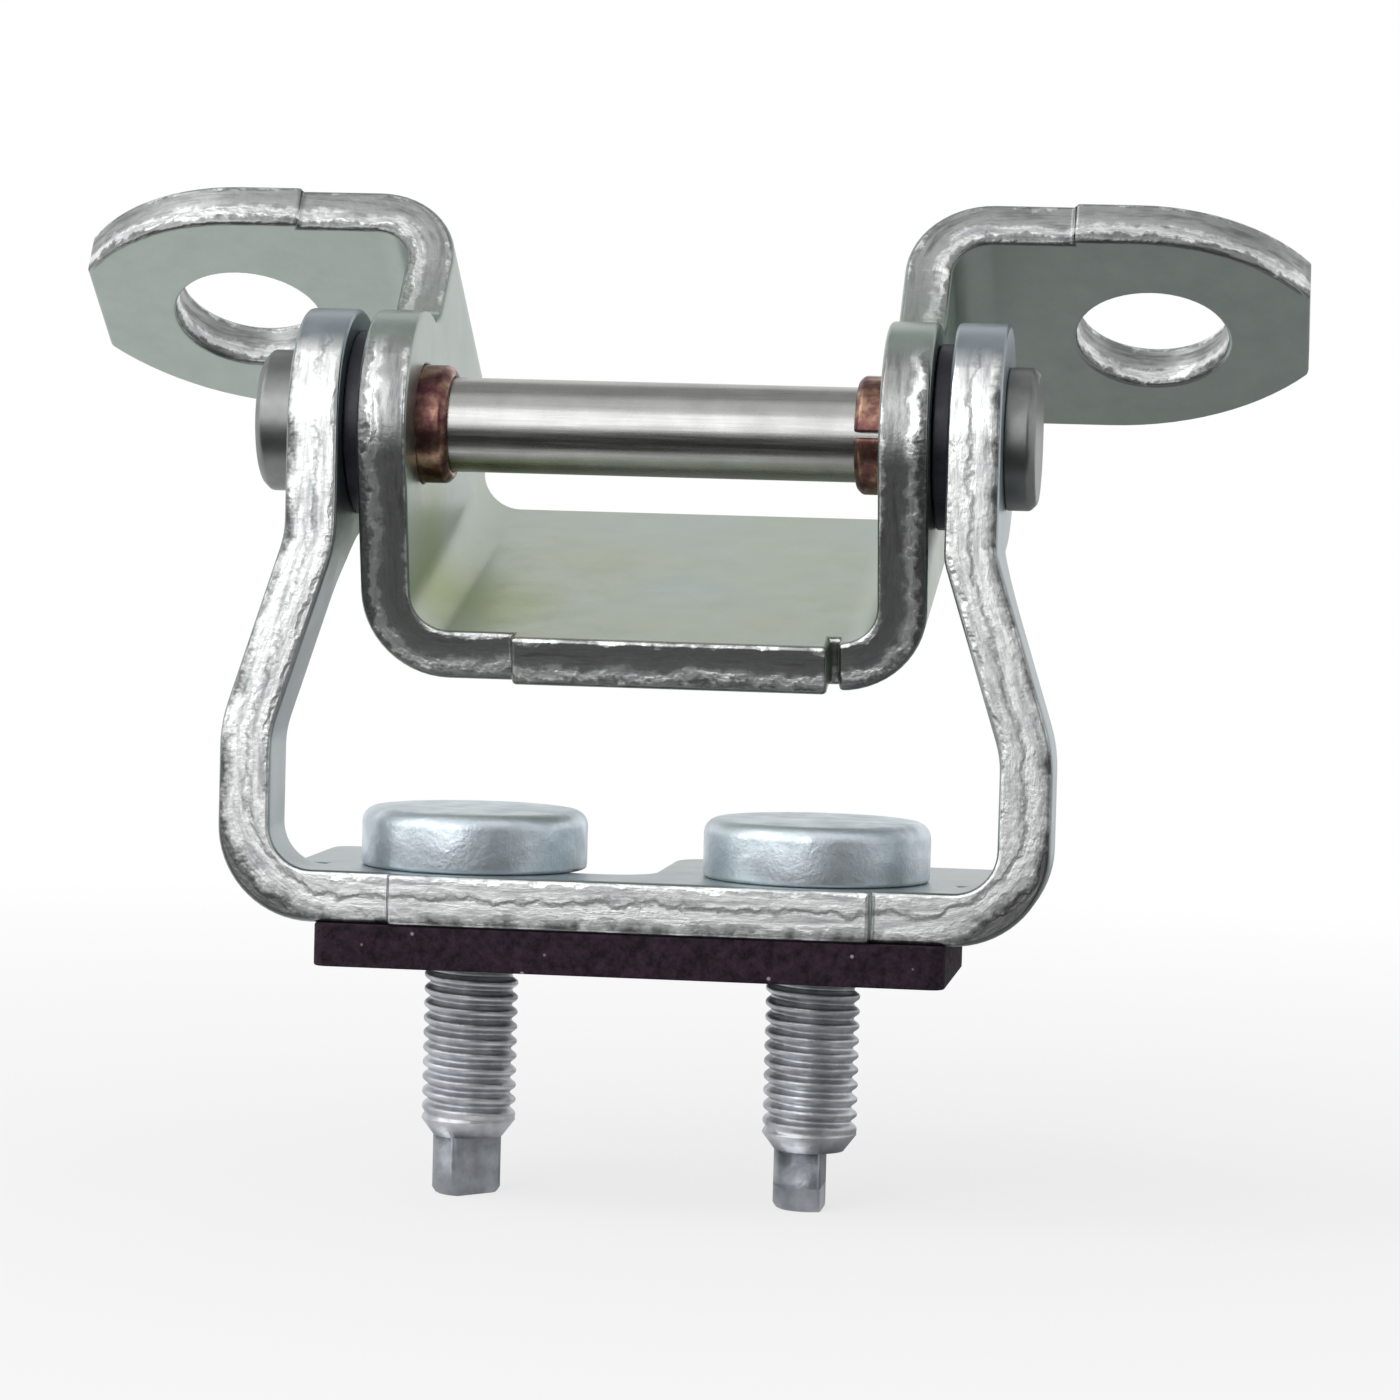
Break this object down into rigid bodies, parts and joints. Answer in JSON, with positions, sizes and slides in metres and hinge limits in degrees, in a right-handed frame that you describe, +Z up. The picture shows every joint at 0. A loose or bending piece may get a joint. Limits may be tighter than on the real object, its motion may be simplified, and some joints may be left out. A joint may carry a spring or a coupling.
{
  "type": "tailgate hinge",
  "caption": "Folded sheet-steel tailgate hinge: a flanged gate bracket turning on a riveted pin in a U-shaped body bracket with head-down studs and a rubber gasket.",
  "frame": {"origin": "midway between the studs on the underside of the gasket, where the hinge meets the vehicle body", "axes": "+X along the hinge pin, +Y from the open front of the floor towards the flanges, +Z up from the body; the studs point along -Z"},
  "size_m": [0.1086, 0.0479, 0.0861],
  "materials": {
    "gate_bracket": "satin zinc plate",
    "body_bracket": "satin zinc plate",
    "hinge_pin": "ground and polished",
    "bush": "bronze, dull",
    "washer": "matt black",
    "stud": "zinc plate",
    "gasket": "matt"
  },
  "bodies": {
    "body_side": {"body_bracket": "body_bracket", "left_stud": "stud", "right_stud": "stud", "gasket": "gasket", "hinge_pin": "hinge_pin", "left_washer": "washer", "right_washer": "washer"},
    "gate_side": {"gate_bracket": "gate_bracket", "left_bush": "bush", "right_bush": "bush"}
  },
  "joints": [
    {"name": "pin_hinge", "type": "hinge", "parent": "body_side", "child": "gate_side", "pos_m": [0, 0, 0.0455], "axis": [1, 0, 0], "range_deg": [-45, 60]}
  ]
}
